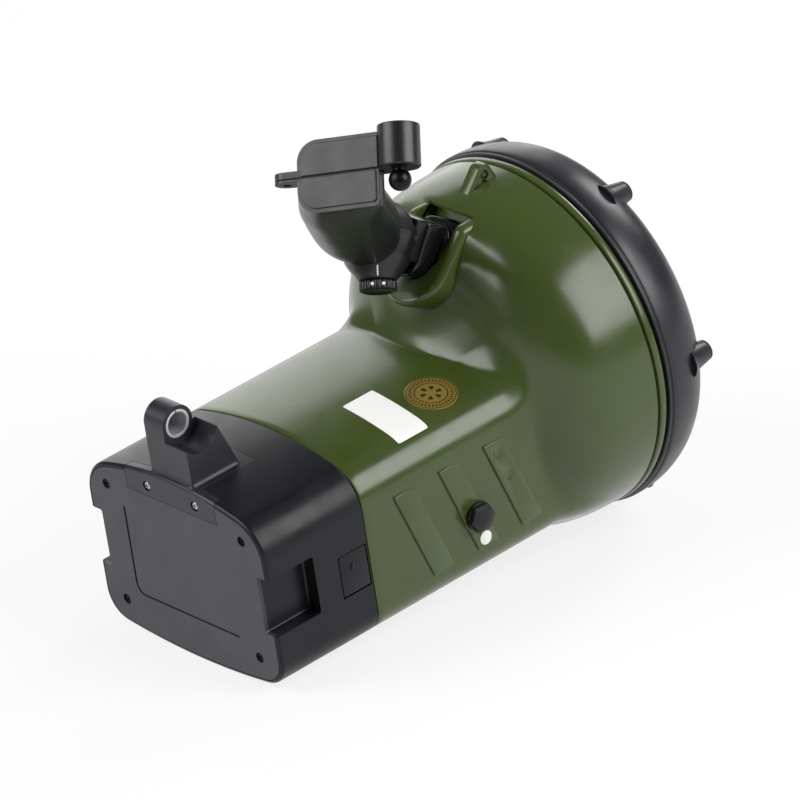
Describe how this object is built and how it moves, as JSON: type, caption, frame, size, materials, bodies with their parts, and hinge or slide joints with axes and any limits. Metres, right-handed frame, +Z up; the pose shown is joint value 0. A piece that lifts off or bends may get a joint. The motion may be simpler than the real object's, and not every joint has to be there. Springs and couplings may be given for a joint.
{
  "type": "portable searchlight",
  "caption": "Hand-held searchlight: a housing flaring into a round reflector bell with a black front ring, a slide-in battery pack at the tail, and a handle that swings about a slanted axis.",
  "frame": {"origin": "the point on the mid-plane where the rear lower edge of the front ring meets the floor, with the lamp lying at rest on that edge and on the lower rear edge of the battery pack", "axes": "+Z up from the floor, +Y forward the way the light leaves, +X to the lamp's right seen from behind; the beam axis points up by the small angle at which the lamp rests"},
  "size_m": [0.2381, 0.3331, 0.3353],
  "materials": {
    "green_plastic": "olive green, glossy",
    "black_plastic": "black, satin",
    "pack_plastic": "blue-black, satin",
    "handle_plastic": "black, satin",
    "black_rubber": "black, matt",
    "clear_glass": "clear, polished",
    "bulb_glass": "clear, polished",
    "reflector_mirror": "polished",
    "white_ceramic": "white, matt",
    "driver_case": "dark grey, matt",
    "contact_brass": "plain",
    "indicator_white": "milky white, glossy",
    "bright_steel": "bright",
    "dark_steel": "blackened",
    "cell_wrap": "blue-green sleeve",
    "tray_plastic": "off-white, matt"
  },
  "bodies": {
    "housing": {"main_housing": "green_plastic", "front_ring": "black_plastic", "ring_feet": "black_rubber", "lens_glass": "clear_glass", "lens_gasket": "black_rubber", "reflector": "reflector_mirror", "lamp_bulb": "bulb_glass", "bulb_base": "white_ceramic", "lamp_holder": "white_ceramic", "driver_module": "driver_case", "bay_plate": "black_plastic", "bay_contacts": "contact_brass", "charge_socket": "black_plastic", "indicator_lens": "indicator_white", "swivel_base": "black_plastic", "swivel_post": "bright_steel", "swivel_nut": "bright_steel", "cable_boot": "black_rubber"},
    "battery": {"pack_shell": "pack_plastic", "rear_cover": "pack_plastic", "cover_screws": "dark_steel", "handle_lug": "black_plastic", "lug_screws": "bright_steel", "lug_bushing": "bright_steel", "battery_cells": "cell_wrap", "cell_trays": "tray_plastic", "bus_strips": "bright_steel", "pack_terminals": "contact_brass"},
    "latch_right": {"latch_tab_right": "black_plastic"},
    "latch_left": {"latch_tab_left": "black_plastic"},
    "handle": {"handle_right": "handle_plastic", "handle_left": "handle_plastic", "ball_stud": "dark_steel", "swivel_bush": "contact_brass", "handle_screws": "bright_steel", "switch_module": "driver_case"},
    "dial": {"control_dial": "handle_plastic"},
    "charge_cap": {"charge_cap": "black_rubber"}
  },
  "joints": [
    {"name": "handle_swivel", "type": "hinge", "parent": "housing", "child": "handle", "pos_m": [0, -0.11513, 0.20605], "axis": [0, -0.8986, 0.4387], "range_deg": [-114.8, 65.2]},
    {"name": "dial_turn", "type": "hinge", "parent": "handle", "child": "dial", "pos_m": [-0.00479, -0.12517, 0.2085], "axis": [0.4195, -0.3982, -0.8158], "range_deg": [0, 120]},
    {"name": "battery_slide", "type": "slide", "parent": "housing", "child": "battery", "axis": [0, -0.9949, -0.1007], "range_m": [0, 0.05]},
    {"name": "latch_right_press", "type": "hinge", "parent": "battery", "child": "latch_right", "pos_m": [0.0759, -0.22637, 0.04685], "axis": [0, -0.9949, -0.1007], "range_deg": [0, 6], "stiffness_Nm_per_rad": 0.8},
    {"name": "latch_left_press", "type": "hinge", "parent": "battery", "child": "latch_left", "pos_m": [-0.0759, -0.22637, 0.04685], "axis": [0, 0.9949, 0.1007], "range_deg": [0, 6], "stiffness_Nm_per_rad": 0.8},
    {"name": "charge_cap_pull", "type": "slide", "parent": "housing", "child": "charge_cap", "axis": [1, 0, 0], "range_m": [0, 0.014]}
  ]
}
